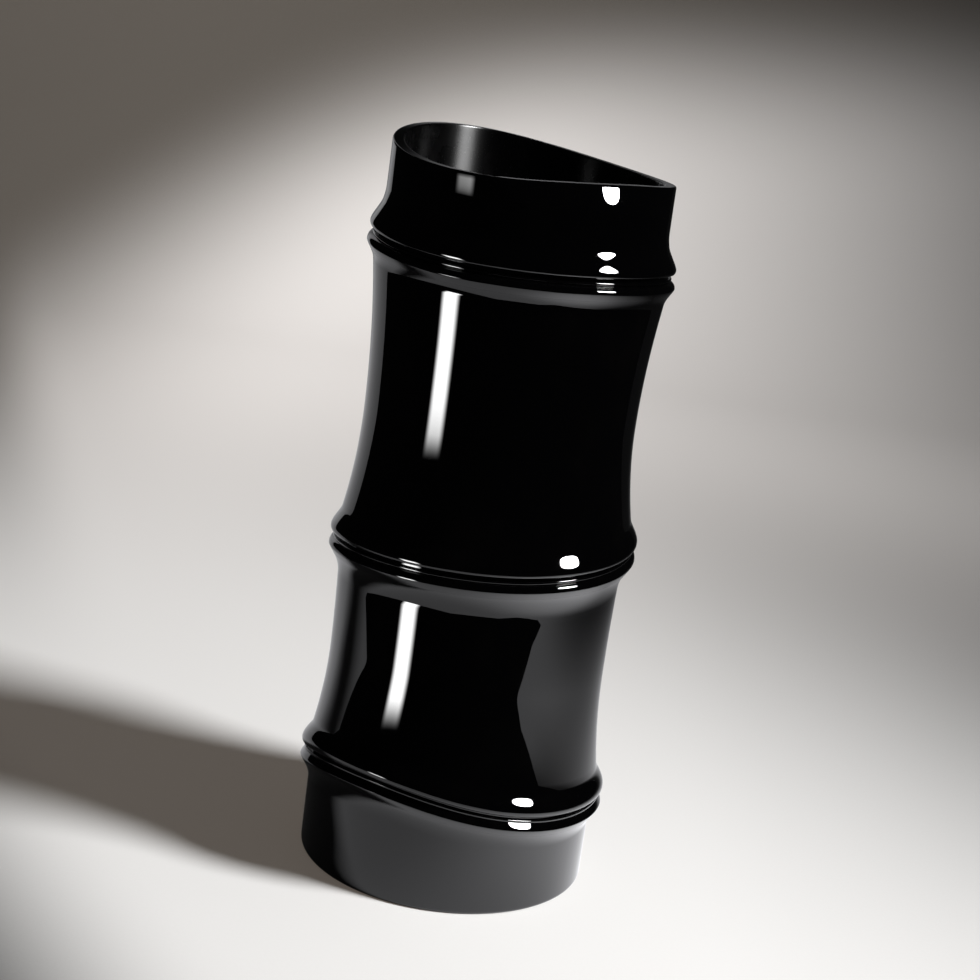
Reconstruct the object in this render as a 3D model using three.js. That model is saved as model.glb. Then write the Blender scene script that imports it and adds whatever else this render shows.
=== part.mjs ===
// Bamboo-stalk vase of black glass: four blown sections, a bead ring at each of three nodes, and a floor.
// Millimetres, +Z up. The base stands on z = 0 round the Z axis, and the viewer is on the -Y side.
import * as THREE from 'three';

// Heights
const footHeight = 35.1; // table to the lower joint
const lowerLength = 81.9; // lower joint to the middle joint
const upperLength = 99; // middle joint to the upper joint
const mouthLength = 29.6; // upper joint to the rim

// Outer radii of the glass: the table, the bottom of each node's groove, and the rim
const baseRadius = 49.8;
const lowerJointRadius = 51.8;
const middleJointRadius = 50.5;
const upperJointRadius = 49.3;
const rimRadius = 46.8;

// How far each waist draws in from the groove under it, and each neck from the groove over it
const lowerWaistDraw = 4.4;
const upperWaistDraw = 4.9;
const mouthWaistDraw = 2.4;
const footNeckDraw = 2;
const lowerNeckDraw = 2.2;
const upperNeckDraw = 0.7;

// Glass thickness
const wall = 4; // at a waist, at the rim and round the floor
const jointWall = 7; // at a groove, through ring and spigot
const spigotWall = 2.5;
const floorThickness = 10;
const floorLedge = 1.6; // width of the ledge that the floor is set against

// Form of a node, up or down from its joint
const crestStand = 1.6; // lip and bead over the groove
const lipRise = 1.5; // joint to the crest of the lip above it
const lowerFlare = 38; // lip crest to the waist of each section
const upperFlare = 41;
const mouthFlare = 12.5;
const rollEase = 2; // how far the roll of a lip runs on along the wall
const grooveIn = 0.6; // groove behind the wall of the joint
const threadTop = 1.1; // joint to the top of the thread in the groove
const threadFoot = 2.1;
const threadStand = 0.5;
const beadDrop = 4.6; // joint to the crest of the bead
const beadShoulder = 1.6; // how far the bead stays near its crest
const ringDepth = 7; // joint to the underside of the ring
const creaseOut = 0.5; // underside of the ring over the groove
const filletDrop = 3.4; // underside of the ring to where the neck starts to spread
const filletBow = 1.6;
const spigotRise = 4; // neck of a section above its joint, in the socket of the next

// Roll of each lip: how far it stays near its crest, and the rise and draw from there to the wall
const lowerRoll = { shoulder: 3.4, rise: 7.3, draw: 2.8 };
const upperRoll = { shoulder: 1.8, rise: 5.8, draw: 3.1 };
const mouthRoll = { shoulder: 1.8, rise: 6, draw: 3.2 };

const lowerWaist = { draw: lowerWaistDraw, flare: lowerFlare, roll: lowerRoll };
const upperWaist = { draw: upperWaistDraw, flare: upperFlare, roll: upperRoll };
const mouthWaist = { draw: mouthWaistDraw, flare: mouthFlare, roll: mouthRoll };

const baseEdge = 1.5; // rounding of the foot at the table
const rimEdge = 0.8; // rounding of the rim
const seatGap = 0.3; // left between two pieces that meet

// How far the nodes and the rim swing off their level: once (tilt), twice (wave) and three times (ripple)
// round the stalk, with the direction of a high side in degrees from +X
const lowerTilt = 5;
const lowerTiltTo = -118;
const lowerWave = 2.1;
const lowerWaveTo = 65;
const lowerRipple = 1.2;
const lowerRippleTo = -12;
const middleTilt = 4.3;
const middleTiltTo = -19;
const middleWave = 1.4;
const middleWaveTo = 34;
const upperTilt = 1.8;
const upperTiltTo = 172;
const upperWave = 1.2;
const upperWaveTo = -33;
const rimTilt = 3.5;
const rimTiltTo = 129;
const rimWave = 2;
const rimWaveTo = -46;

const facets = 40; // round the stalk
const curveSteps = 5; // along each curve of an outline

const lowerJoint = footHeight;
const middleJoint = lowerJoint + lowerLength;
const upperJoint = middleJoint + upperLength;
const rim = upperJoint + mouthLength;

// A level swings as one from the height from to the height to, so a node and its seats keep their form.
// Between two levels the glass passes smoothly from one swing to the other.
function nodeLevel(joint, ...swings) {
  return { from: joint - ringDepth - 2 * seatGap, to: joint + spigotRise + 2 * seatGap, swings };
}
const levels = [
  { from: 0, to: floorThickness + seatGap, swings: [] },
  nodeLevel(lowerJoint, [lowerTilt, lowerTiltTo], [lowerWave, lowerWaveTo], [lowerRipple, lowerRippleTo]),
  nodeLevel(middleJoint, [middleTilt, middleTiltTo], [middleWave, middleWaveTo]),
  nodeLevel(upperJoint, [upperTilt, upperTiltTo], [upperWave, upperWaveTo]),
  { from: rim - 2 * rimEdge, to: rim, swings: [[rimTilt, rimTiltTo], [rimWave, rimWaveTo]] },
];

function swingOf(level, angle) {
  let lift = 0;
  level.swings.forEach(([size, towards], i) => {
    lift += size * Math.cos((i + 1) * (angle - THREE.MathUtils.degToRad(towards)));
  });
  return lift;
}

function liftAt(height, angle) {
  const next = levels.findIndex((level, i) => i > 0 && height <= level.to);
  const above = levels.at(next);
  const below = levels.at(next - 1);
  const share = THREE.MathUtils.smoothstep(height, below.to, above.from);
  return THREE.MathUtils.lerp(swingOf(below, angle), swingOf(above, angle), share);
}

function glassPiece(name, geometry, height) {
  const blackGlass = new THREE.MeshStandardMaterial({ color: '#09090a', roughness: 0.04, metalness: 0 });
  const piece = new THREE.Mesh(geometry, blackGlass);
  piece.name = name;
  piece.position.z = height;
  return piece;
}

// A piece turned from its outline, whose heights count from the piece's own, and swinging with the stalk
function turnedPiece(name, outline, height) {
  outline.closePath();
  const geometry = new THREE.LatheGeometry(outline.getPoints(curveSteps), facets);
  geometry.rotateX(Math.PI / 2);
  const points = geometry.getAttribute('position');
  for (let i = 0; i < points.count; i += 1) {
    const angle = Math.atan2(points.getY(i), points.getX(i));
    points.setZ(i, points.getZ(i) + liftAt(height + points.getZ(i), angle));
  }
  geometry.computeVertexNormals();
  return glassPiece(name, geometry, height);
}

// Radii that the pieces of one joint share
function jointFit(groove, neckDraw) {
  const crest = groove + crestStand;
  const crease = groove + creaseOut;
  const neck = groove - neckDraw;
  const bore = groove - jointWall;
  const spigot = bore + spigotWall;
  const socket = spigot + seatGap;
  return { groove, crest, crease, neck, bore, spigot, socket };
}
const lowerFit = jointFit(lowerJointRadius, footNeckDraw);
const middleFit = jointFit(middleJointRadius, lowerNeckDraw);
const upperFit = jointFit(upperJointRadius, upperNeckDraw);

// Underside, rolled lip and flare up to the waist, from the joint that a section stands on
function startOnJoint(fit, waistRadius, waistHeight, roll) {
  const outline = new THREE.Path();
  outline.moveTo(fit.socket, 0);
  outline.lineTo(fit.groove, 0);
  outline.quadraticCurveTo(fit.crest, 0, fit.crest, lipRise);
  const wallRadius = fit.crest - roll.draw;
  const wallHeight = lipRise + roll.rise;
  const half = (waistHeight - wallHeight) / 2;
  const lean = (wallRadius - waistRadius) / half;
  const easeRadius = wallRadius + lean * rollEase;
  const shoulder = lipRise + roll.shoulder;
  outline.bezierCurveTo(fit.crest, shoulder, easeRadius, wallHeight - rollEase, wallRadius, wallHeight);
  outline.quadraticCurveTo(waistRadius, wallHeight + half, waistRadius, waistHeight);
  return outline;
}

// Bore from the waist down to the ledge over the spigot below, and the socket round that spigot
function endInSocket(outline, fit, waistBore, waistHeight) {
  const ledge = spigotRise + seatGap;
  outline.quadraticCurveTo(waistBore, (waistHeight + ledge) / 2, fit.bore, ledge);
  outline.lineTo(fit.socket, ledge);
}

// Neck that spreads to the ring over it
function neckUnderRing(outline, fit, waistRadius, waistHeight, shoulder) {
  const start = shoulder - filletDrop;
  const half = (start - waistHeight) / 2;
  const lean = (fit.neck - waistRadius) / half;
  const bow = fit.neck + lean * (filletDrop - filletBow);
  outline.quadraticCurveTo(waistRadius, waistHeight + half, fit.neck, start);
  outline.quadraticCurveTo(bow, shoulder - filletBow, fit.crease, shoulder);
}

// Shoulder under the ring and the spigot that passes through it, at the joint that ends a section
function spigotOn(outline, fit, joint) {
  outline.lineTo(fit.spigot, joint - ringDepth - seatGap);
  outline.lineTo(fit.spigot, joint + spigotRise);
  outline.lineTo(fit.bore, joint + spigotRise);
}

function waistedSection(name, height, length, below, above, waist) {
  const waistRadius = below.groove - waist.draw;
  const waistBore = waistRadius - wall;
  const waistHeight = lipRise + waist.flare;
  const shoulder = length - ringDepth - seatGap;
  const outline = startOnJoint(below, waistRadius, waistHeight, waist.roll);
  neckUnderRing(outline, above, waistRadius, waistHeight, shoulder);
  spigotOn(outline, above, length);
  outline.quadraticCurveTo(waistBore, (waistHeight + length) / 2, waistBore, waistHeight);
  endInSocket(outline, below, waistBore, waistHeight);
  return turnedPiece(name, outline, height);
}

function mouthSection() {
  const waistRadius = upperFit.groove - mouthWaist.draw;
  const waistBore = waistRadius - wall;
  const waistHeight = lipRise + mouthWaist.flare;
  const rimBore = rimRadius - wall;
  const outline = startOnJoint(upperFit, waistRadius, waistHeight, mouthWaist.roll);
  outline.lineTo(rimRadius, mouthLength - rimEdge);
  outline.quadraticCurveTo(rimRadius, mouthLength, rimRadius - rimEdge, mouthLength);
  outline.lineTo(rimBore + rimEdge, mouthLength);
  outline.quadraticCurveTo(rimBore, mouthLength, rimBore, mouthLength - rimEdge);
  outline.lineTo(waistBore, waistHeight);
  endInSocket(outline, upperFit, waistBore, waistHeight);
  return turnedPiece('mouth_section', outline, upperJoint);
}

// Bead of a node and the groove over it with a thin thread of glass, on the spigot between shoulder and lip
function nodeRing(name, joint, fit) {
  const outline = new THREE.Path();
  outline.moveTo(fit.socket, -ringDepth);
  outline.lineTo(fit.crease, -ringDepth);
  outline.quadraticCurveTo(fit.crest, -(beadDrop + ringDepth) / 2, fit.crest, -beadDrop);
  outline.quadraticCurveTo(fit.crest, beadShoulder - beadDrop, fit.groove, -threadFoot);
  const thread = fit.groove + threadStand;
  outline.quadraticCurveTo(thread, -threadFoot, thread, -(threadTop + threadFoot) / 2);
  outline.quadraticCurveTo(thread, -threadTop, fit.groove, -threadTop);
  outline.lineTo(fit.groove - grooveIn, -threadTop);
  outline.lineTo(fit.groove - grooveIn, -seatGap);
  outline.lineTo(fit.socket, -seatGap);
  return turnedPiece(name, outline, joint);
}

// The foot passes from the table to its neck along a curve that ends upright, and the floor's seat leaves
// a full wall inside that curve
const ledgeHeight = floorThickness + seatGap;
const footShoulder = footHeight - ringDepth - seatGap;
const footNeck = footShoulder - filletDrop;
const ledgeShare = (ledgeHeight - baseEdge) / (footNeck - baseEdge);
const ledgeRadius = THREE.MathUtils.lerp(lowerFit.neck, baseRadius, (1 - ledgeShare) ** 2);
const floorSeat = Math.min(baseRadius, ledgeRadius) - wall;

function footSection() {
  const outline = new THREE.Path();
  outline.moveTo(floorSeat, 0);
  outline.lineTo(baseRadius - baseEdge, 0);
  outline.quadraticCurveTo(baseRadius, 0, baseRadius, baseEdge);
  outline.quadraticCurveTo(lowerFit.neck, (baseEdge + footNeck) / 2, lowerFit.neck, footNeck);
  outline.quadraticCurveTo(lowerFit.neck, footShoulder - filletBow, lowerFit.crease, footShoulder);
  spigotOn(outline, lowerFit, footHeight);
  outline.lineTo(lowerFit.bore, footShoulder);
  const footBore = lowerFit.neck - wall;
  outline.quadraticCurveTo(footBore, (footShoulder + ledgeHeight) / 2, floorSeat - floorLedge, ledgeHeight);
  outline.lineTo(floorSeat, ledgeHeight);
  return turnedPiece('foot_section', outline, 0);
}

function baseFloor() {
  const radius = floorSeat - seatGap;
  const disc = new THREE.CylinderGeometry(radius, radius, floorThickness, facets);
  disc.rotateX(Math.PI / 2);
  return glassPiece('base_floor', disc, floorThickness / 2);
}

const vase = new THREE.Group();
vase.add(
  baseFloor(),
  footSection(),
  nodeRing('lower_node_ring', lowerJoint, lowerFit),
  waistedSection('lower_section', lowerJoint, lowerLength, lowerFit, middleFit, lowerWaist),
  nodeRing('middle_node_ring', middleJoint, middleFit),
  waistedSection('upper_section', middleJoint, upperLength, middleFit, upperFit, upperWaist),
  nodeRing('upper_node_ring', upperJoint, upperFit),
  mouthSection(),
);

export default vase;
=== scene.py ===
import math

import bpy
from mathutils import Matrix, Vector


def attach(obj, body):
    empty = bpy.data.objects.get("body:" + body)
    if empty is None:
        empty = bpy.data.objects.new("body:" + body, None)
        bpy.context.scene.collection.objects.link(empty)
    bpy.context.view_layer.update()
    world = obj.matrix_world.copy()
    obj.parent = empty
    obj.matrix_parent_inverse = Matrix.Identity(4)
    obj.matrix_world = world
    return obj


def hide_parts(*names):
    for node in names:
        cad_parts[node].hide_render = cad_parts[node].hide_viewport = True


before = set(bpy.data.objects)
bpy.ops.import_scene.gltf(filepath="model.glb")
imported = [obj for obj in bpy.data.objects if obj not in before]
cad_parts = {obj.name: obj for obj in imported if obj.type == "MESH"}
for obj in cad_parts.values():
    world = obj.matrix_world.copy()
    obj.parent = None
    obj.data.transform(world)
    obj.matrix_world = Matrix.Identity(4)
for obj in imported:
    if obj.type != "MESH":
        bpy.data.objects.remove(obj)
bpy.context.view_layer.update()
mm = 0.001  # the dictionaries below are in millimetres and degrees
print("frame loaded:", ", ".join(sorted(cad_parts)))


# camera at the photograph's place
cameraView = {
    "distance": 650,  # in front of the stalk's axis
    "height": 300,
    "pitch": 14.38,  # looking down
    "yaw": -0.009,
    "roll": 7.84,  # the picture leans the stalk to the right
    "lens": 72.55,
    "sensor": 36,
}


def placeCamera(view):
    data = bpy.data.cameras.new("camera")
    data.sensor_width = view["sensor"]
    data.lens = view["lens"]
    camera = bpy.data.objects.new("camera", data)
    bpy.context.scene.collection.objects.link(camera)
    place = Matrix.Translation((0, -view["distance"] * mm, view["height"] * mm))
    turn = Matrix.Rotation(math.radians(view["yaw"]), 4, "Z")
    look = Matrix.Rotation(math.radians(90 - view["pitch"]), 4, "X")
    lean = Matrix.Rotation(math.radians(view["roll"]), 4, "Z")
    camera.matrix_world = place @ turn @ look @ lean
    bpy.context.scene.camera = camera


placeCamera(cameraView)
print("camera placed")


# node helpers shared by the trees below
def addNode(tree, kind, **settings):
    node = tree.nodes.new(kind)
    for key, value in settings.items():
        setattr(node, key, value)
    return node


def plug(tree, socket, value):
    if isinstance(value, bpy.types.NodeSocket):
        tree.links.new(value, socket)
    else:
        socket.default_value = value


def calc(tree, operation, *values):
    node = addNode(tree, "ShaderNodeMath", operation=operation)
    for socket, value in zip(node.inputs, values):
        plug(tree, socket, value)
    return node.outputs[0]


def groupSockets(tree, inputs, outputs):
    for name, kind in inputs:
        tree.interface.new_socket(name, in_out="INPUT", socket_type=kind)
    for name, kind in outputs:
        tree.interface.new_socket(name, in_out="OUTPUT", socket_type=kind)
    return addNode(tree, "NodeGroupInput"), addNode(tree, "NodeGroupOutput")


def useGroup(tree, group, **values):
    kind = "GeometryNodeGroup" if tree.bl_idname == "GeometryNodeTree" else "ShaderNodeGroup"
    node = addNode(tree, kind, node_tree=group)
    for name, value in values.items():
        plug(tree, node.inputs[name], value)
    return node


# how far the glass swings off its level at one place round the stalk: once, twice and three times round
def swingGroup():
    tree = bpy.data.node_groups.new("swing", "GeometryNodeTree")
    inputs = [("Angle", "NodeSocketFloat"), ("Size", "NodeSocketVector"), ("Towards", "NodeSocketVector")]
    start, end = groupSockets(tree, inputs, [("Lift", "NodeSocketFloat")])
    sizes = addNode(tree, "ShaderNodeSeparateXYZ")
    towards = addNode(tree, "ShaderNodeSeparateXYZ")
    tree.links.new(start.outputs["Size"], sizes.inputs[0])
    tree.links.new(start.outputs["Towards"], towards.inputs[0])
    lift = 0.0
    for times, axis in enumerate("XYZ", start=1):
        off = calc(tree, "SUBTRACT", start.outputs["Angle"], towards.outputs[axis])
        wave = calc(tree, "COSINE", calc(tree, "MULTIPLY", off, times))
        lift = calc(tree, "ADD", calc(tree, "MULTIPLY", sizes.outputs[axis], wave), lift)
    tree.links.new(lift, end.inputs["Lift"])
    return tree


# how far one side of the mouth is pressed in towards its rim
def pressGroup():
    tree = bpy.data.node_groups.new("press", "GeometryNodeTree")
    names = ("Angle", "Height", "Depth", "Towards", "Width", "Start", "End", "Bend")
    inputs = [(name, "NodeSocketFloat") for name in names]
    start, end = groupSockets(tree, inputs, [("Inset", "NodeSocketFloat")])
    given = start.outputs
    lobe = addNode(tree, "ShaderNodeMapRange", interpolation_type="SMOOTHSTEP")
    off = calc(tree, "SUBTRACT", given["Angle"], given["Towards"])
    plug(tree, lobe.inputs["Value"], calc(tree, "COSINE", off))
    plug(tree, lobe.inputs["From Min"], calc(tree, "COSINE", given["Width"]))
    rise = addNode(tree, "ShaderNodeMapRange")
    plug(tree, rise.inputs["Value"], given["Height"])
    plug(tree, rise.inputs["From Min"], given["Start"])
    plug(tree, rise.inputs["From Max"], given["End"])
    bent = calc(tree, "POWER", rise.outputs["Result"], given["Bend"])
    share = calc(tree, "MULTIPLY", bent, lobe.outputs["Result"])
    tree.links.new(calc(tree, "MULTIPLY", share, given["Depth"]), end.inputs["Inset"])
    return tree


# an outline turned round the stalk, that passes from the swing of the level below to that of the level above
def turnedGlassTree():
    tree = bpy.data.node_groups.new("turned glass", "GeometryNodeTree")
    inputs = [
        ("Outline", "NodeSocketGeometry"),
        ("Rounds", "NodeSocketInt"),
        ("Spindle", "NodeSocketFloat"),
        ("Span Start", "NodeSocketFloat"),
        ("Span End", "NodeSocketFloat"),
        ("Size Below", "NodeSocketVector"),
        ("Towards Below", "NodeSocketVector"),
        ("Size Above", "NodeSocketVector"),
        ("Towards Above", "NodeSocketVector"),
        ("Press Depths", "NodeSocketVector"),
        ("Press Towards", "NodeSocketVector"),
        ("Press Width", "NodeSocketFloat"),
        ("Press Start", "NodeSocketFloat"),
        ("Press End", "NodeSocketFloat"),
        ("Press Bend", "NodeSocketFloat"),
        ("Crease Angle", "NodeSocketFloat"),
        ("Glass", "NodeSocketMaterial"),
        ("Bore Glass", "NodeSocketMaterial"),
        ("Ground Glass", "NodeSocketMaterial"),
    ]
    start, end = groupSockets(tree, inputs, [("Piece", "NodeSocketGeometry")])
    given = start.outputs

    ring = addNode(tree, "GeometryNodeCurvePrimitiveCircle")
    plug(tree, ring.inputs["Resolution"], given["Rounds"])
    plug(tree, ring.inputs["Radius"], given["Spindle"])
    upright = addNode(tree, "GeometryNodeSetCurveNormal", mode="Z_UP")
    tree.links.new(ring.outputs["Curve"], upright.inputs["Curve"])
    sweep = addNode(tree, "GeometryNodeCurveToMesh")
    tree.links.new(upright.outputs["Curve"], sweep.inputs["Curve"])
    tree.links.new(given["Outline"], sweep.inputs["Profile Curve"])

    position = addNode(tree, "GeometryNodeInputPosition")
    parts = addNode(tree, "ShaderNodeSeparateXYZ")
    tree.links.new(position.outputs[0], parts.inputs[0])
    angle = calc(tree, "ARCTAN2", parts.outputs["Y"], parts.outputs["X"])
    share = addNode(tree, "ShaderNodeMapRange", interpolation_type="SMOOTHSTEP")
    plug(tree, share.inputs["Value"], parts.outputs["Z"])
    plug(tree, share.inputs["From Min"], given["Span Start"])
    plug(tree, share.inputs["From Max"], given["Span End"])
    swing = swingGroup()
    below = useGroup(tree, swing, Angle=angle, Size=given["Size Below"], Towards=given["Towards Below"])
    above = useGroup(tree, swing, Angle=angle, Size=given["Size Above"], Towards=given["Towards Above"])
    lift = addNode(tree, "ShaderNodeMix", data_type="FLOAT")
    plug(tree, lift.inputs["Factor"], share.outputs["Result"])
    plug(tree, lift.inputs["A"], below.outputs["Lift"])
    plug(tree, lift.inputs["B"], above.outputs["Lift"])
    press = pressGroup()
    depths = addNode(tree, "ShaderNodeSeparateXYZ")
    pressTo = addNode(tree, "ShaderNodeSeparateXYZ")
    tree.links.new(given["Press Depths"], depths.inputs[0])
    tree.links.new(given["Press Towards"], pressTo.inputs[0])
    inset = 0.0
    for axis in "XY":
        pressed = useGroup(tree, press, Angle=angle, Height=parts.outputs["Z"], Depth=depths.outputs[axis])
        plug(tree, pressed.inputs["Towards"], pressTo.outputs[axis])
        for name in ("Width", "Start", "End", "Bend"):
            plug(tree, pressed.inputs[name], given["Press " + name])
        inset = calc(tree, "SUBTRACT", inset, pressed.outputs["Inset"])
    offset = addNode(tree, "ShaderNodeCombineXYZ")
    plug(tree, offset.inputs["X"], calc(tree, "MULTIPLY", inset, calc(tree, "COSINE", angle)))
    plug(tree, offset.inputs["Y"], calc(tree, "MULTIPLY", inset, calc(tree, "SINE", angle)))
    plug(tree, offset.inputs["Z"], lift.outputs["Result"])
    swung = addNode(tree, "GeometryNodeSetPosition")
    tree.links.new(sweep.outputs["Mesh"], swung.inputs["Geometry"])
    tree.links.new(offset.outputs[0], swung.inputs["Offset"])

    outside = addNode(tree, "GeometryNodeFlipFaces")
    tree.links.new(swung.outputs["Geometry"], outside.inputs["Mesh"])
    merged = addNode(tree, "GeometryNodeMergeByDistance")
    plug(tree, merged.inputs["Distance"], turning["poleMerge"] * mm)
    tree.links.new(outside.outputs["Mesh"], merged.inputs["Geometry"])
    smooth = addNode(tree, "GeometryNodeSetShadeSmooth", domain="FACE")
    tree.links.new(merged.outputs["Geometry"], smooth.inputs["Geometry"])
    edge = addNode(tree, "GeometryNodeInputMeshEdgeAngle")
    soft = calc(tree, "LESS_THAN", edge.outputs["Unsigned Angle"], given["Crease Angle"])
    creased = addNode(tree, "GeometryNodeSetShadeSmooth", domain="EDGE")
    tree.links.new(smooth.outputs["Geometry"], creased.inputs["Geometry"])
    tree.links.new(soft, creased.inputs["Shade Smooth"])

    normal = addNode(tree, "GeometryNodeInputNormal")
    flat = addNode(tree, "ShaderNodeVectorMath", operation="MULTIPLY")
    tree.links.new(position.outputs[0], flat.inputs[0])
    flat.inputs[1].default_value = (1, 1, 0)
    outward = addNode(tree, "ShaderNodeVectorMath", operation="NORMALIZE")
    tree.links.new(flat.outputs[0], outward.inputs[0])
    facing = addNode(tree, "ShaderNodeVectorMath", operation="DOT_PRODUCT")
    tree.links.new(normal.outputs[0], facing.inputs[0])
    tree.links.new(outward.outputs[0], facing.inputs[1])
    inward = calc(tree, "LESS_THAN", facing.outputs["Value"], turning["boreFacing"])
    onTable = calc(tree, "LESS_THAN", parts.outputs["Z"], turning["groundBelow"] * mm)

    glass = addNode(tree, "GeometryNodeSetMaterial")
    tree.links.new(creased.outputs["Geometry"], glass.inputs["Geometry"])
    tree.links.new(given["Glass"], glass.inputs["Material"])
    bore = addNode(tree, "GeometryNodeSetMaterial")
    tree.links.new(glass.outputs["Geometry"], bore.inputs["Geometry"])
    tree.links.new(inward, bore.inputs["Selection"])
    tree.links.new(given["Bore Glass"], bore.inputs["Material"])
    ground = addNode(tree, "GeometryNodeSetMaterial")
    tree.links.new(bore.outputs["Geometry"], ground.inputs["Geometry"])
    tree.links.new(onTable, ground.inputs["Selection"])
    tree.links.new(given["Ground Glass"], ground.inputs["Material"])
    tree.links.new(ground.outputs["Geometry"], end.inputs["Piece"])
    return tree


# outlines, as knots of a closed curve of radius and height with a handle on each side
def startAt(radius, height):
    return [{"at": (radius, height)}]


def lineTo(outline, radius, height):
    r, h = outline[-1]["at"]
    outline[-1]["out"] = (r + (radius - r) / 3, h + (height - h) / 3)
    outline.append({"at": (radius, height), "into": (radius - (radius - r) / 3, height - (height - h) / 3)})


def curveTo(outline, outHandle, intoHandle, radius, height):
    outline[-1]["out"] = outHandle
    outline.append({"at": (radius, height), "into": intoHandle})


def bowTo(outline, bow, radius, height):  # one control point for both handles
    r, h = outline[-1]["at"]
    outHandle = (r + (bow[0] - r) * 2 / 3, h + (bow[1] - h) * 2 / 3)
    intoHandle = (radius + (bow[0] - radius) * 2 / 3, height + (bow[1] - height) * 2 / 3)
    curveTo(outline, outHandle, intoHandle, radius, height)


def closeOutline(outline):
    lineTo(outline, *outline[0]["at"])
    outline[0]["into"] = outline.pop()["into"]


turning = {
    "rounds": 256,  # faces round the stalk
    "curveSteps": 14,  # along each stretch of an outline
    "spindle": 1,  # radius of the ring that carries the outline
    "creaseAngle": 40,
    "poleMerge": 0.001,  # closes the poles of a disc
    "boreFacing": -0.3,  # a face that looks further in than this is the bore
    "groundBelow": 0.01,  # what lies lower than this is the ground underside
}
turnedGlass = turnedGlassTree()
noPress = {"depths": (0, 0, 0), "towards": (0, 0, 0), "width": 90, "bend": 1, "from": 0, "to": 1}


def turnPiece(name, outline, height, levels, glass, boreGlass, press=noPress):
    solidOnAxis = outline[0]["at"][0] == 0
    closeOutline(outline)
    data = bpy.data.curves.new(name + " outline", "CURVE")
    data.dimensions = "3D"
    data.resolution_u = turning["curveSteps"]
    spline = data.splines.new("BEZIER")
    spline.bezier_points.add(len(outline) - 1)
    spline.use_cyclic_u = not solidOnAxis

    def place(point):  # the sweep turns the outline head down, so heights are negative here
        return Vector((point[0] - turning["spindle"], -point[1] - height, 0)) * mm

    for point, knot in zip(spline.bezier_points, outline):
        point.handle_left_type = "FREE"
        point.handle_right_type = "FREE"
        point.co = place(knot["at"])
        point.handle_left = place(knot["into"])
        point.handle_right = place(knot["out"])

    carrier = bpy.data.objects.new(name + " outline", data)
    bpy.context.scene.collection.objects.link(carrier)
    modifier = carrier.modifiers.new("turned glass", "NODES")
    modifier.node_group = turnedGlass
    below, above = levels
    values = {
        "Rounds": turning["rounds"],
        "Spindle": turning["spindle"] * mm,
        "Span Start": below["to"] * mm,
        "Span End": above["from"] * mm,
        "Size Below": [size * mm for size in below["sizes"]],
        "Towards Below": [math.radians(angle) for angle in below["towards"]],
        "Size Above": [size * mm for size in above["sizes"]],
        "Towards Above": [math.radians(angle) for angle in above["towards"]],
        "Press Depths": [depth * mm for depth in press["depths"]],
        "Press Towards": [math.radians(angle) for angle in press["towards"]],
        "Press Width": math.radians(press["width"]),
        "Press Bend": press["bend"],
        "Press Start": press["from"] * mm,
        "Press End": press["to"] * mm,
        "Crease Angle": math.radians(turning["creaseAngle"]),
        "Glass": glass,
        "Bore Glass": boreGlass,
        "Ground Glass": groundGlass,
    }
    for item in turnedGlass.interface.items_tree:
        if item.name in values:
            modifier[item.identifier] = values[item.name]
    depsgraph = bpy.context.evaluated_depsgraph_get()
    mesh = bpy.data.meshes.new_from_object(carrier.evaluated_get(depsgraph), depsgraph=depsgraph)
    carrier.modifiers.remove(modifier)
    bpy.data.objects.remove(carrier)
    bpy.data.curves.remove(data)
    piece = bpy.data.objects.new(name, mesh)
    bpy.context.scene.collection.objects.link(piece)
    print(name, "turned:", len(mesh.polygons), "faces")
    return piece


# sizes that neighbouring pieces share
stalk = {
    "footHeight": 35.1,  # table to the lower joint
    "lowerLength": 81.9,
    "upperLength": 99,
    "mouthLength": 29.6,
    "wall": 4,
    "jointWall": 7,  # at a groove, through ring and spigot
    "spigotWall": 2.5,
    "spigotRise": 4,
    "hiddenGap": 0.3,  # at the hidden faces of a joint
    "seam": 0.02,  # where two pieces meet in sight
}
nodeForm = {  # up or down from the joint, and out from the groove
    "lipStand": 1.6,
    "lipRise": 1.5,
    "rollEase": 2,  # how far the lip's roll runs on along the wall
    "grooveIn": 0.6,
    "threadTop": 1.1,
    "threadFoot": 2.1,
    "threadStand": 0.5,
    "beadDrop": 4.6,
    "beadTuck": 0.25,  # how soon the bead turns under
    "ringDepth": 7,
}
lowerJoint = {
    "groove": 51.8,
    "neckDraw": 2,
    "beadStand": 1.6,
    "beadShoulder": 0.3,  # how far the bead stays near its crest
    "creaseOut": 0.2,  # where ring and neck meet
    "filletDrop": 5.5,  # the neck's last flare to the bead
    "filletBow": 3.4,
    "sizes": (5, 2.1, 1.2),  # swings once, twice and three times round
    "towards": (-118, 65, -12),
}
middleJoint = {
    "groove": 50.5,
    "neckDraw": 2.6,
    "beadStand": 1.6,
    "beadShoulder": 1.6,
    "creaseOut": 0.2,
    "filletDrop": 8,
    "filletBow": 3.6,
    "sizes": (4.3, 1.4, 0),
    "towards": (-19, 34, 0),
}
upperJoint = {
    "groove": 49.3,
    "neckDraw": 0.7,
    "beadStand": 2,
    "beadShoulder": 1.6,
    "creaseOut": 0.65,
    "filletDrop": 3.4,
    "filletBow": 1.9,
    "sizes": (1.8, 1.2, 0),
    "towards": (172, -33, 0),
}
table = {"from": 0, "sizes": (0, 0, 0), "towards": (0, 0, 0)}
rimLevel = {"swingRise": 1.6, "sizes": (3.5, 2.0, 0), "towards": (129, -46, 0)}


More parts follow.
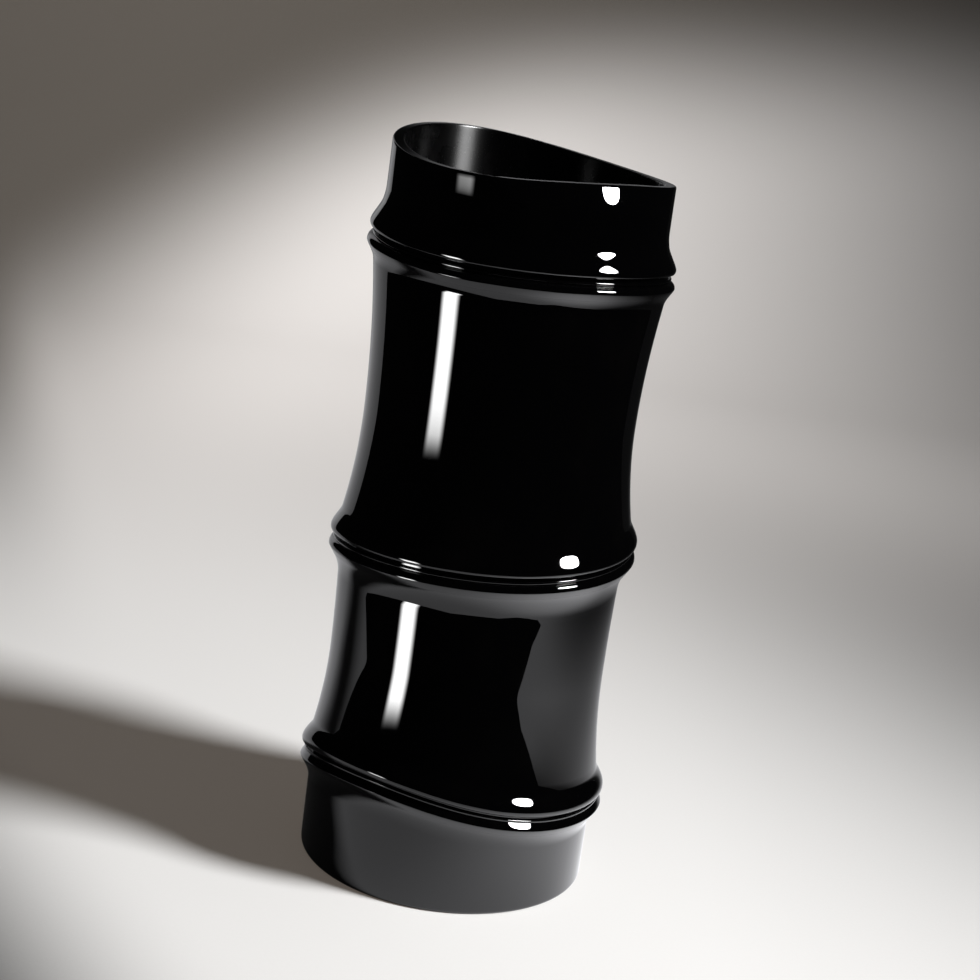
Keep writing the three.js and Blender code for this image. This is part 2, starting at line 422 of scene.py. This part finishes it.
def fitJoint(joint, height):
    joint["height"] = height
    joint["neck"] = joint["groove"] - joint["neckDraw"]
    joint["crease"] = joint["groove"] + joint["creaseOut"]
    joint["bore"] = joint["groove"] - stalk["jointWall"]
    joint["spigot"] = joint["bore"] + stalk["spigotWall"]
    joint["socket"] = joint["spigot"] + stalk["hiddenGap"]
    joint["from"] = height - nodeForm["ringDepth"] - 2 * stalk["hiddenGap"]
    joint["to"] = height + stalk["spigotRise"] + 2 * stalk["hiddenGap"]


fitJoint(lowerJoint, stalk["footHeight"])
fitJoint(middleJoint, lowerJoint["height"] + stalk["lowerLength"])
fitJoint(upperJoint, middleJoint["height"] + stalk["upperLength"])
rimHeight = upperJoint["height"] + stalk["mouthLength"]
rimLevel["from"] = rimHeight - rimLevel["swingRise"]
rimLevel["to"] = rimHeight


# rolled lip and flare of a section, from its joint up to its waist
def lipAndFlare(joint, waist, section):
    lip = joint["groove"] + nodeForm["lipStand"]
    rise = nodeForm["lipRise"]
    outline = startAt(joint["socket"], 0)
    lineTo(outline, joint["groove"], 0)
    bowTo(outline, (lip, 0), lip, rise)
    wall = lip - section["rollDraw"]
    wallHeight = rise + section["rollRise"]
    half = (rise + section["flare"] - wallHeight) / 2
    lean = (wall - waist) / half
    ease = nodeForm["rollEase"]
    shoulder = (lip, rise + section["lipShoulder"])
    curveTo(outline, shoulder, (wall + lean * ease, wallHeight - ease), wall, wallHeight)
    bowTo(outline, (waist, wallHeight + half), waist, rise + section["flare"])
    return outline


# neck under a bead, the shoulder that the ring sits on, and the spigot through the ring
def neckAndSpigot(outline, joint, length):
    shoulder = length - nodeForm["ringDepth"] - stalk["seam"]
    start = shoulder - joint["filletDrop"]
    waist, waistHeight = outline[-1]["at"]
    half = (start - waistHeight) / 2
    bowTo(outline, (waist, waistHeight + half), joint["neck"], start)
    lean = (joint["neck"] - waist) / half
    bow = joint["neck"] + lean * (joint["filletDrop"] - joint["filletBow"])
    bowTo(outline, (bow, shoulder - joint["filletBow"]), joint["crease"], shoulder)
    lineTo(outline, joint["spigot"], shoulder)
    lineTo(outline, joint["spigot"], length + stalk["spigotRise"])
    lineTo(outline, joint["bore"], length + stalk["spigotRise"])


def boreToSocket(outline, joint, waistBore, waistHeight):
    ledge = stalk["spigotRise"] + stalk["hiddenGap"]
    bowTo(outline, (waistBore, (waistHeight + ledge) / 2), joint["bore"], ledge)
    lineTo(outline, joint["socket"], ledge)


def waistedSection(name, section, glass, boreGlass):
    below, above = section["below"], section["above"]
    waist = below["groove"] - section["waistDraw"]
    waistBore = waist - stalk["wall"]
    waistHeight = nodeForm["lipRise"] + section["flare"]
    length = above["height"] - below["height"]
    outline = lipAndFlare(below, waist, section)
    neckAndSpigot(outline, above, length)
    bowTo(outline, (waistBore, (waistHeight + length) / 2), waistBore, waistHeight)
    boreToSocket(outline, below, waistBore, waistHeight)
    return turnPiece(name, outline, below["height"], (below, above), glass, boreGlass)


# bead, a thin thread over it, and the groove under the lip of the next section
def nodeRing(name, joint, glass, boreGlass):
    groove = joint["groove"]
    bead = groove + joint["beadStand"]
    thread = groove + nodeForm["threadStand"]
    drop = nodeForm["beadDrop"]
    depth = nodeForm["ringDepth"]
    threadTop = -nodeForm["threadTop"]
    threadFoot = -nodeForm["threadFoot"]
    grooveBack = groove - nodeForm["grooveIn"]
    outline = startAt(joint["socket"], -depth)
    lineTo(outline, joint["crease"], -depth)
    bowTo(outline, (bead, -drop - nodeForm["beadTuck"]), bead, -drop)
    bowTo(outline, (bead, joint["beadShoulder"] - drop), groove, threadFoot)
    bowTo(outline, (thread, threadFoot), thread, (threadTop + threadFoot) / 2)
    bowTo(outline, (thread, threadTop), groove, threadTop)
    lineTo(outline, grooveBack, threadTop)
    lineTo(outline, grooveBack, -stalk["seam"])
    lineTo(outline, joint["socket"], -stalk["seam"])
    return turnPiece(name, outline, joint["height"], (joint, joint), glass, boreGlass)


mouth = {
    "rim": 46.8,
    "rimEdge": 0.8,
    "waistDraw": 2.4,
    "flare": 12.5,  # crest of the lip to the waist
    "lipShoulder": 1.2,  # how long the lip stays near its crest
    "rollRise": 7,  # crest of the lip to the wall above it
    "rollDraw": 3.3,
    "pressReach": 9,  # down from the rim
}
rimPress = {
    "depths": (3, -0.52, 0),  # in under a low stretch of the rim, and a little out at the left
    "towards": (-61, -117, 0),
    "width": 42,
    "bend": 1.3,
    "from": rimHeight - mouth["pressReach"],
    "to": rimHeight,
}


def mouthSection(name, glass, boreGlass):
    waist = upperJoint["groove"] - mouth["waistDraw"]
    waistBore = waist - stalk["wall"]
    waistHeight = nodeForm["lipRise"] + mouth["flare"]
    top = stalk["mouthLength"]
    rim = mouth["rim"]
    rimBore = rim - stalk["wall"]
    edge = mouth["rimEdge"]
    outline = lipAndFlare(upperJoint, waist, mouth)
    lineTo(outline, rim, top - edge)
    bowTo(outline, (rim, top), rim - edge, top)
    lineTo(outline, rimBore + edge, top)
    bowTo(outline, (rimBore, top), rimBore, top - edge)
    lineTo(outline, waistBore, waistHeight)
    boreToSocket(outline, upperJoint, waistBore, waistHeight)
    return turnPiece(name, outline, upperJoint["height"], (upperJoint, rimLevel), glass, boreGlass, rimPress)


foot = {"radius": 49.8, "edge": 1.5, "floorThickness": 10, "floorLedge": 1.6}
foot["seat"] = foot["radius"] - stalk["wall"]
table["to"] = foot["floorThickness"] + stalk["hiddenGap"]  # the swing starts over the floor


def footSection(name, glass, boreGlass):
    edge = foot["edge"]
    ledge = foot["floorThickness"] + stalk["hiddenGap"]
    outline = startAt(foot["seat"], 0)
    lineTo(outline, foot["radius"] - edge, 0)
    bowTo(outline, (foot["radius"], 0), foot["radius"], edge)
    neckAndSpigot(outline, lowerJoint, stalk["footHeight"])
    shoulder = stalk["footHeight"] - nodeForm["ringDepth"]
    lineTo(outline, lowerJoint["bore"], shoulder)
    bore = lowerJoint["neck"] - stalk["wall"]
    bowTo(outline, (bore, (shoulder + ledge) / 2), foot["seat"] - foot["floorLedge"], ledge)
    lineTo(outline, foot["seat"], ledge)
    return turnPiece(name, outline, 0, (table, lowerJoint), glass, boreGlass)


def baseFloor(name, glass, boreGlass):
    radius = foot["seat"] - stalk["seam"]
    outline = startAt(0, 0)
    lineTo(outline, radius, 0)
    lineTo(outline, radius, foot["floorThickness"])
    lineTo(outline, 0, foot["floorThickness"])
    return turnPiece(name, outline, 0, (table, table), glass, boreGlass)


# marks of the hand in the glass: slow ripples, streaks round the stalk, and specks where it is less clear
handMarks = {  # how each pattern is squeezed along x, y and z, and between which values it fades in
    "ripple": {"squeeze": (1, 1, 0.6), "detail": 1.0},
    "streak": {"squeeze": (0.05, 0.05, 1), "detail": 3.0},  # long round the stalk
    "cloud": {"squeeze": (1.7, 1.7, 1.1), "detail": 4.0, "fade": (0.5, 0.8)},
    "speck": {"squeeze": (1, 1, 1), "detail": 2.0, "fade": (0.66, 0.74)},
}


def workedGlassGroup():
    tree = bpy.data.node_groups.new("worked glass", "ShaderNodeTree")
    inputs = [
        ("Ripple Length", "NodeSocketFloat"),
        ("Ripple Height", "NodeSocketFloat"),
        ("Streak Spacing", "NodeSocketFloat"),
        ("Streak Height", "NodeSocketFloat"),
        ("Speck Spacing", "NodeSocketFloat"),
        ("Clear Roughness", "NodeSocketFloat"),
        ("Dull Roughness", "NodeSocketFloat"),
        ("Deep Color", "NodeSocketColor"),
        ("Smoky Color", "NodeSocketColor"),
    ]
    outputs = [("Color", "NodeSocketColor"), ("Roughness", "NodeSocketFloat"), ("Height", "NodeSocketFloat")]
    start, end = groupSockets(tree, inputs, outputs)
    given = start.outputs
    place = addNode(tree, "ShaderNodeTexCoord").outputs["Object"]

    def noise(spacing, mark):
        drawn = addNode(tree, "ShaderNodeVectorMath", operation="MULTIPLY")
        plug(tree, drawn.inputs[0], place)
        plug(tree, drawn.inputs[1], mark["squeeze"])
        pattern = addNode(tree, "ShaderNodeTexNoise")
        plug(tree, pattern.inputs["Vector"], drawn.outputs[0])
        plug(tree, pattern.inputs["Scale"], calc(tree, "DIVIDE", 1.0, spacing))
        plug(tree, pattern.inputs["Detail"], mark["detail"])
        return pattern.outputs["Fac"]

    def fade(value, mark):
        low, high = mark["fade"]
        node = addNode(tree, "ShaderNodeMapRange", interpolation_type="SMOOTHSTEP")
        plug(tree, node.inputs["Value"], value)
        plug(tree, node.inputs["From Min"], low)
        plug(tree, node.inputs["From Max"], high)
        return node.outputs["Result"]

    ripples = noise(given["Ripple Length"], handMarks["ripple"])
    ripple = calc(tree, "MULTIPLY", ripples, given["Ripple Height"])
    streaks = noise(given["Streak Spacing"], handMarks["streak"])
    height = calc(tree, "ADD", ripple, calc(tree, "MULTIPLY", streaks, given["Streak Height"]))
    clouds = noise(given["Ripple Length"], handMarks["cloud"])
    specks = fade(noise(given["Speck Spacing"], handMarks["speck"]), handMarks["speck"])
    dull = calc(tree, "MAXIMUM", fade(clouds, handMarks["cloud"]), specks)
    rough = addNode(tree, "ShaderNodeMix", data_type="FLOAT")
    plug(tree, rough.inputs["Factor"], dull)
    plug(tree, rough.inputs["A"], given["Clear Roughness"])
    plug(tree, rough.inputs["B"], given["Dull Roughness"])
    color = addNode(tree, "ShaderNodeMix", data_type="RGBA")
    plug(tree, color.inputs["Factor"], dull)
    plug(tree, color.inputs["A"], given["Deep Color"])
    plug(tree, color.inputs["B"], given["Smoky Color"])
    plug(tree, end.inputs["Color"], color.outputs["Result"])
    plug(tree, end.inputs["Roughness"], rough.outputs["Result"])
    plug(tree, end.inputs["Height"], height)
    return tree


workedGlass = workedGlassGroup()


def blackGlass(name, finish):
    material = bpy.data.materials.new(name)
    material.use_nodes = True
    tree = material.node_tree
    marks = useGroup(
        tree,
        workedGlass,
        **{
            "Ripple Length": finish["rippleLength"] * mm,
            "Ripple Height": finish["rippleHeight"] * mm,
            "Streak Spacing": finish["streakSpacing"] * mm,
            "Streak Height": finish["streakHeight"] * mm,
            "Speck Spacing": finish["speckSpacing"] * mm,
            "Clear Roughness": finish["clearRoughness"],
            "Dull Roughness": finish["dullRoughness"],
            "Deep Color": finish["deepColor"],
            "Smoky Color": finish["smokyColor"],
        },
    )
    bump = addNode(tree, "ShaderNodeBump")
    bump.inputs["Strength"].default_value = 1.0
    bump.inputs["Distance"].default_value = 1.0
    shader = tree.nodes["Principled BSDF"]
    shader.inputs["IOR"].default_value = finish["ior"]
    shader.inputs["Anisotropic"].default_value = finish["brushed"]
    shader.inputs["Anisotropic Rotation"].default_value = finish["brushTurn"]
    plug(tree, bump.inputs["Height"], marks.outputs["Height"])
    plug(tree, shader.inputs["Base Color"], marks.outputs["Color"])
    plug(tree, shader.inputs["Roughness"], marks.outputs["Roughness"])
    plug(tree, shader.inputs["Normal"], bump.outputs["Normal"])
    return material


polishedFinish = {  # fire-polished outside of the sections
    "rippleLength": 34,
    "rippleHeight": 0.03,
    "streakSpacing": 6,
    "streakHeight": 0.0006,
    "speckSpacing": 0.9,
    "clearRoughness": 0.015,
    "dullRoughness": 0.05,
    "ior": 1.6,
    "brushed": 0,
    "brushTurn": 0.25,  # in turns, so that it runs round the stalk
    "deepColor": (0.0005, 0.0005, 0.0006, 1),
    "smokyColor": (0.001, 0.0009, 0.0009, 1),
}
nodeFinish = {  # bead and groove, more worked than the sections
    **polishedFinish,
    "rippleLength": 9,
    "rippleHeight": 0.02,
    "streakSpacing": 1.4,
    "streakHeight": 0.002,
}
boreFinish = {  # satin inside, streaked by the tool that opened it
    **polishedFinish,
    "rippleLength": 12,
    "rippleHeight": 0.015,
    "streakSpacing": 1.1,
    "streakHeight": 0.012,
    "clearRoughness": 0.27,
    "dullRoughness": 0.31,
    "brushed": 1,
    "smokyColor": (0.002, 0.0018, 0.0018, 1),
}
groundFinish = {  # underside, ground flat
    **polishedFinish,
    "streakSpacing": 0.5,
    "streakHeight": 0.006,
    "clearRoughness": 0.35,
    "dullRoughness": 0.5,
    "smokyColor": (0.01, 0.01, 0.01, 1),
}
outerGlass = blackGlass("polished black glass", polishedFinish)
nodeGlass = blackGlass("worked black glass", nodeFinish)
boreGlass = blackGlass("satin black glass", boreFinish)
groundGlass = blackGlass("ground black glass", groundFinish)
print("glass finishes ready")

lowerSpec = {
    "below": lowerJoint,
    "above": middleJoint,
    "waistDraw": 4.4,
    "flare": 38,
    "lipShoulder": 2.2,
    "rollRise": 6.5,
    "rollDraw": 3.2,
}
upperSpec = {
    "below": middleJoint,
    "above": upperJoint,
    "waistDraw": 4.9,
    "flare": 41,
    "lipShoulder": 1.5,
    "rollRise": 6.7,
    "rollDraw": 3.1,
}
made = {
    "base_floor": baseFloor("floorDisc", outerGlass, boreGlass),
    "foot_section": footSection("foot", outerGlass, boreGlass),
    "lower_node_ring": nodeRing("lowerRing", lowerJoint, nodeGlass, boreGlass),
    "lower_section": waistedSection("lowerSection", lowerSpec, outerGlass, boreGlass),
    "middle_node_ring": nodeRing("middleRing", middleJoint, nodeGlass, boreGlass),
    "upper_section": waistedSection("upperSection", upperSpec, outerGlass, boreGlass),
    "upper_node_ring": nodeRing("upperRing", upperJoint, nodeGlass, boreGlass),
    "mouth_section": mouthSection("mouth", outerGlass, boreGlass),
}
for node, piece in made.items():
    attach(piece, "root")
    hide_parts(node)


# pale paper over a table: it hangs over the front edge and sweeps up behind
sweep = {
    "frontEdge": [(-900, 700), (-70, -240), (88, -240), (130, -185), (220, -185), (345, -130), (700, 700)],
    "edgeRound": 12,
    "drop": 500,
    "bend": 900,  # where the paper starts to rise
    "bendRadius": 700,
    "top": 1600,
    "steps": 24,
}


def sweepOutline(frontEdge):
    outline = [(frontEdge - sweep["edgeRound"], -sweep["drop"])]
    turns = [math.pi / 2 * step / sweep["steps"] for step in range(sweep["steps"] + 1)]
    for turn in turns:
        y = frontEdge - sweep["edgeRound"] * math.cos(turn)
        outline.append((y, sweep["edgeRound"] * (math.sin(turn) - 1)))
    for turn in turns:
        y = sweep["bend"] + sweep["bendRadius"] * math.sin(turn)
        outline.append((y, sweep["bendRadius"] * (1 - math.cos(turn))))
    outline.append((sweep["bend"] + sweep["bendRadius"], sweep["top"]))
    return outline


def makeSweep():
    points = []
    faces = []
    for x, frontEdge in sweep["frontEdge"]:
        points += [Vector((x, y, z)) * mm for y, z in sweepOutline(frontEdge)]
    rows = len(points) // len(sweep["frontEdge"])
    for column in range(len(sweep["frontEdge"]) - 1):
        for row in range(rows - 1):
            corner = column * rows + row
            faces.append((corner, corner + rows, corner + rows + 1, corner + 1))
    mesh = bpy.data.meshes.new("paperSweep")
    mesh.from_pydata(points, [], faces)
    mesh.shade_smooth()
    mesh.materials.append(paintedLightPaper())
    paper = bpy.data.objects.new("paperSweep", mesh)
    bpy.context.scene.collection.objects.link(paper)


# painted light on the paper: painted shade where the light falls off at the sides and the top, a painted
# glow of fill light for the camera, and its own tones for the glass, a painted reflection with a painted
# pool of light
shading = {
    "pale": (0.811, 0.81, 0.805, 1),
    # pale end of the backdrop's painted shade
    "backPale": (0.93, 0.9, 0.881, 1),
    "paintedShade": (0.112, 0.1, 0.087, 1),  # painted shade, at the top of the backdrop
    # painted reflection: the paper's colour as only the glass sees it
    "paintedReflectionPale": (0.81, 0.81, 0.835, 1),
    "paintedFillGlow": 0.083,  # painted glow of fill light, seen only by the camera, that lifts a shadow
    # warm tint of the painted glow
    "paintedFillTint": (1.2, 1, 0.83),
    "roughness": 0.9,
    "specular": 0.2,
    "fibre": 0.03,
    "fibreMiddle": 0.5,
    "fibreScale": 900,
    "near": [((0.873, 0.585, 0), -230, -102), ((-1, -0.469, 0), -619, 45)],  # painted shade at the sides of the floor: along, dark at, pale at
    # painted shade at the left, the top and the top left of the backdrop
    "back": [((1, 0.311, 0), -179, -82), ((0.133, 0, -1), -329, -75), ((0.95, 0, -1), -513, -98)],
    # painted shade at the right of the backdrop
    "backRight": [((-1, 0.026, 0), -912, 592)],
    # painted reflection: where the glass sees the paper lit, and the backdrop behind
    "mirrored": [((-1, -0.5, 0), -470, -10), ((-1, 0, 0), -390, -230)],
    "paintedReflectionBack": [((-1, 0, 0), -400, 100), ((0, 1, 0), 150, 450), ((0, 0, -1), -900, -250)],
    "paintedReflectionBackShare": 0.36,
    "backFrom": -74,
    "backTo": 826,
    "paintedPoolAt": (115, -30, 0),  # painted pool of light, seen only in the glass, right of the vase
    "paintedPoolRadius": 190,
    "paintedPoolGain": (0.8, 2.0),  # of the painted pool: away from it, and in it
}


def paintedLightPaper():
    material = bpy.data.materials.new("pale paper with painted light")
    material.use_nodes = True
    tree = material.node_tree
    shader = tree.nodes["Principled BSDF"]
    place = addNode(tree, "ShaderNodeTexCoord").outputs["Object"]

    def across(value, low, high, results=(0, 1)):
        share = addNode(tree, "ShaderNodeMapRange", interpolation_type="SMOOTHERSTEP")
        plug(tree, share.inputs["Value"], value)
        plug(tree, share.inputs["From Min"], low * mm)
        plug(tree, share.inputs["From Max"], high * mm)
        plug(tree, share.inputs["To Min"], results[0])
        plug(tree, share.inputs["To Max"], results[1])
        return share.outputs["Result"]

    def along(direction):
        node = addNode(tree, "ShaderNodeVectorMath", operation="DOT_PRODUCT")
        plug(tree, node.inputs[0], place)
        plug(tree, node.inputs[1], direction)
        return node.outputs["Value"]

    # painted light: the share of light that these masks paint on the paper
    def paintedLightBy(masks):
        lit = 1.0
        for direction, low, high in masks:
            lit = calc(tree, "MULTIPLY", across(along(direction), low, high), lit)
        return lit

    def blend(factor, first, second):
        node = addNode(tree, "ShaderNodeMix", data_type="RGBA")
        plug(tree, node.inputs["Factor"], factor)
        plug(tree, node.inputs["A"], first)
        plug(tree, node.inputs["B"], second)
        return node.outputs["Result"]

    def dim(color, factor):
        node = addNode(tree, "ShaderNodeVectorMath", operation="SCALE")
        plug(tree, node.inputs[0], color if isinstance(color, bpy.types.NodeSocket) else color[:3])
        plug(tree, node.inputs["Scale"], factor)
        return node.outputs[0]

    fibre = addNode(tree, "ShaderNodeTexNoise")
    plug(tree, fibre.inputs["Vector"], place)
    plug(tree, fibre.inputs["Scale"], shading["fibreScale"])
    uneven = calc(tree, "SUBTRACT", fibre.outputs["Fac"], shading["fibreMiddle"])
    worn = calc(tree, "MULTIPLY", uneven, shading["fibre"])
    # the tones the camera sees: the paper's colour with painted shade at the sides and the top of floor and
    # backdrop
    near = dim(shading["pale"], calc(tree, "ADD", paintedLightBy(shading["near"]), worn))
    back = blend(calc(tree, "ADD", paintedLightBy(shading["back"]), worn), shading["paintedShade"], shading["backPale"])
    backShare = across(along((0, 1, 0)), shading["backFrom"], shading["backTo"])
    seen = blend(backShare, near, dim(back, paintedLightBy(shading["backRight"])))

    # the tones only the glass sees: a painted reflection of the paper, with a painted pool of light right of
    # the vase
    reach = addNode(tree, "ShaderNodeVectorMath", operation="DISTANCE")
    plug(tree, reach.inputs[0], place)
    plug(tree, reach.inputs[1], [value * mm for value in shading["paintedPoolAt"]])
    paintedPool = across(reach.outputs["Value"], shading["paintedPoolRadius"], 0, shading["paintedPoolGain"])
    paintedReflectionBack = calc(tree, "MULTIPLY", paintedLightBy(shading["paintedReflectionBack"]), shading["paintedReflectionBackShare"])
    paintedReflectionLit = calc(tree, "MAXIMUM", paintedLightBy(shading["mirrored"]), paintedReflectionBack)
    mirrored = dim(shading["paintedReflectionPale"], calc(tree, "MULTIPLY", paintedReflectionLit, paintedPool))
    ray = addNode(tree, "ShaderNodeLightPath")
    tone = blend(ray.outputs["Is Glossy Ray"], seen, mirrored)
    # painted glow of warm fill light, for camera rays only, which lifts the shadow
    paintedFillGlow = calc(tree, "MULTIPLY", ray.outputs["Is Camera Ray"], shading["paintedFillGlow"])
    paintedFillColor = addNode(tree, "ShaderNodeVectorMath", operation="MULTIPLY")
    plug(tree, paintedFillColor.inputs[0], tone)
    plug(tree, paintedFillColor.inputs[1], shading["paintedFillTint"])
    plug(tree, shader.inputs["Base Color"], tone)
    plug(tree, shader.inputs["Emission Color"], paintedFillColor.outputs[0])
    plug(tree, shader.inputs["Emission Strength"], paintedFillGlow)
    shader.inputs["Roughness"].default_value = shading["roughness"]
    shader.inputs["Specular IOR Level"].default_value = shading["specular"]
    return material


makeSweep()
print("paper laid")


def towards(azimuth, elevation, distance, origin):
    a, e = math.radians(azimuth), math.radians(elevation)
    ray = Vector((math.sin(a) * math.cos(e), -math.cos(a) * math.cos(e), math.sin(e)))
    return Vector(origin) + ray * distance


# a panel that dims towards its sides and its top
def softenLamp(data, edges):
    data.use_nodes = True
    tree = data.node_tree
    emission = tree.nodes["Emission"]
    place = addNode(tree, "ShaderNodeSeparateXYZ")
    plug(tree, place.inputs[0], addNode(tree, "ShaderNodeNewGeometry").outputs["Parametric"])
    strength = 1.0
    for axis, low, high in edges:
        share = addNode(tree, "ShaderNodeMapRange", interpolation_type="SMOOTHSTEP")
        plug(tree, share.inputs["Value"], place.outputs[axis])
        plug(tree, share.inputs["From Min"], low)
        plug(tree, share.inputs["From Max"], high)
        strength = calc(tree, "MULTIPLY", share.outputs["Result"], strength)
    plug(tree, emission.inputs["Strength"], strength)


def areaLamp(name, lamp):
    data = bpy.data.lights.new(name, "AREA")
    data.shape = lamp["shape"]
    data.size, data.size_y = (side * mm for side in lamp["size"])
    data.energy = lamp["power"]
    data.spread = math.radians(lamp["spread"])
    if "softEdges" in lamp:
        softenLamp(data, lamp["softEdges"])
    source = bpy.data.objects.new(name, data)
    bpy.context.scene.collection.objects.link(source)
    place = towards(lamp["azimuth"], lamp["elevation"], lamp["distance"], lamp["seenFrom"])
    source.location = place * mm
    source.rotation_euler = (Vector(lamp["aim"]) - place).to_track_quat("-Z", "Y").to_euler()


# lamps, by the direction they are seen in: azimuth 0 is behind the camera, and + is to the right
keyLamp = {
    "shape": "DISK",
    "size": (540, 540),
    "azimuth": 73.5,
    "elevation": 34,
    "distance": 2200,
    "seenFrom": (0, 0, 100),
    "aim": (0, 0, 100),
    "spread": 150,
    "power": 55,
}
stripLamp = {  # stands lower than the table, past its front edge
    "shape": "RECTANGLE",
    "size": (1250, 1950),
    "azimuth": -53,
    "elevation": -21,
    "distance": 4280,
    "seenFrom": (0, 0, 110),
    "aim": (0, 0, -1424),
    "spread": 180,
    "power": 160,
    "softEdges": [("X", 0, 0.28), ("X", 1, 0.7), ("Y", 1, 0.72)],
}
backLamp = {  # over the backdrop, turned away from the vase
    "shape": "RECTANGLE",
    "size": (1200, 400),
    "azimuth": 180,
    "elevation": 60,
    "distance": 1050,
    "seenFrom": (-150, 0, 0),
    "aim": (-150, 1300, 80),
    "spread": 100,
    "power": 2,
}
areaLamp("key", keyLamp)
areaLamp("strip", stripLamp)
areaLamp("backLamp", backLamp)


# a dim studio: grey behind the paper, a little fill on the paper, and dark in the glass
studio = {"seen": 0.3, "fill": 0.03, "mirrored": 0.003}


def dimStudio():
    world = bpy.data.worlds.new("studio")
    world.use_nodes = True
    tree = world.node_tree
    path = addNode(tree, "ShaderNodeLightPath")
    strength = studio["fill"]
    for ray, level in (("Is Glossy Ray", studio["mirrored"]), ("Is Camera Ray", studio["seen"])):
        mix = addNode(tree, "ShaderNodeMix", data_type="FLOAT")
        plug(tree, mix.inputs["Factor"], path.outputs[ray])
        plug(tree, mix.inputs["A"], strength)
        plug(tree, mix.inputs["B"], level)
        strength = mix.outputs["Result"]
    background = tree.nodes["Background"]
    background.inputs["Color"].default_value = (1, 1, 1, 1)
    plug(tree, background.inputs["Strength"], strength)
    bpy.context.scene.world = world


dimStudio()
bpy.context.scene.view_settings.view_transform = "Standard"
